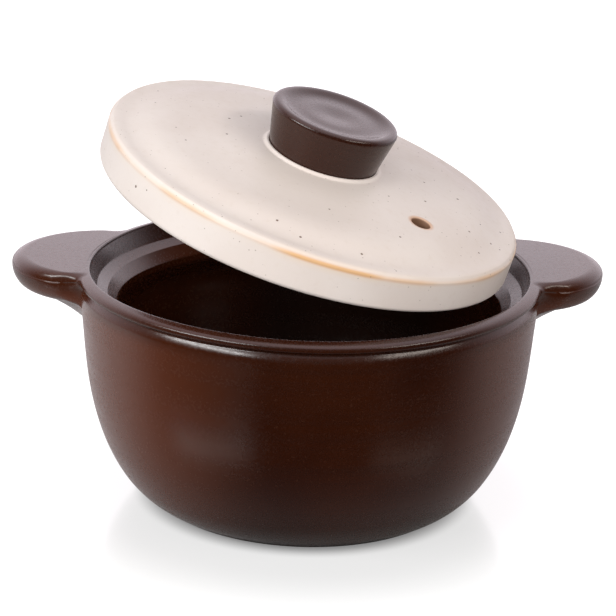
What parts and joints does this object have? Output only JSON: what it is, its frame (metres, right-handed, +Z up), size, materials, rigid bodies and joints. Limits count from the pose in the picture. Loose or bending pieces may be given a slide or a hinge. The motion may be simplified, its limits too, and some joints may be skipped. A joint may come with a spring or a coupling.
{
  "type": "clay cooking pot",
  "caption": "Round stoneware cooking pot with thick curved side lugs, a seat for its lid, and a domed lid with a wide dished knob and a steam vent, shown tipped above the mouth.",
  "frame": {"origin": "centre of the foot ring, on the surface the pot stands on", "axes": "+Z up along the pot's own axis, +X towards the right-hand lug, -Y towards the viewer"},
  "size_m": [0.2624, 0.2026, 0.1827],
  "materials": {
    "brown_glaze": "dark brown iron glaze, satin gloss",
    "cream_glaze": "cream glaze with iron specks, satin"
  },
  "bodies": {
    "pot": {"pot_body": "brown_glaze", "handle_left": "brown_glaze", "handle_right": "brown_glaze"},
    "lid": {"lid_disc": "cream_glaze", "lid_knob": "brown_glaze"}
  },
  "joints": [
    {"name": "lid_tip", "type": "hinge", "parent": "pot", "child": "lid", "pos_m": [0.11088, -0.04036, 0.1249], "axis": [0.342, 0.9397, 0], "range_deg": [-16.9, 60]}
  ]
}
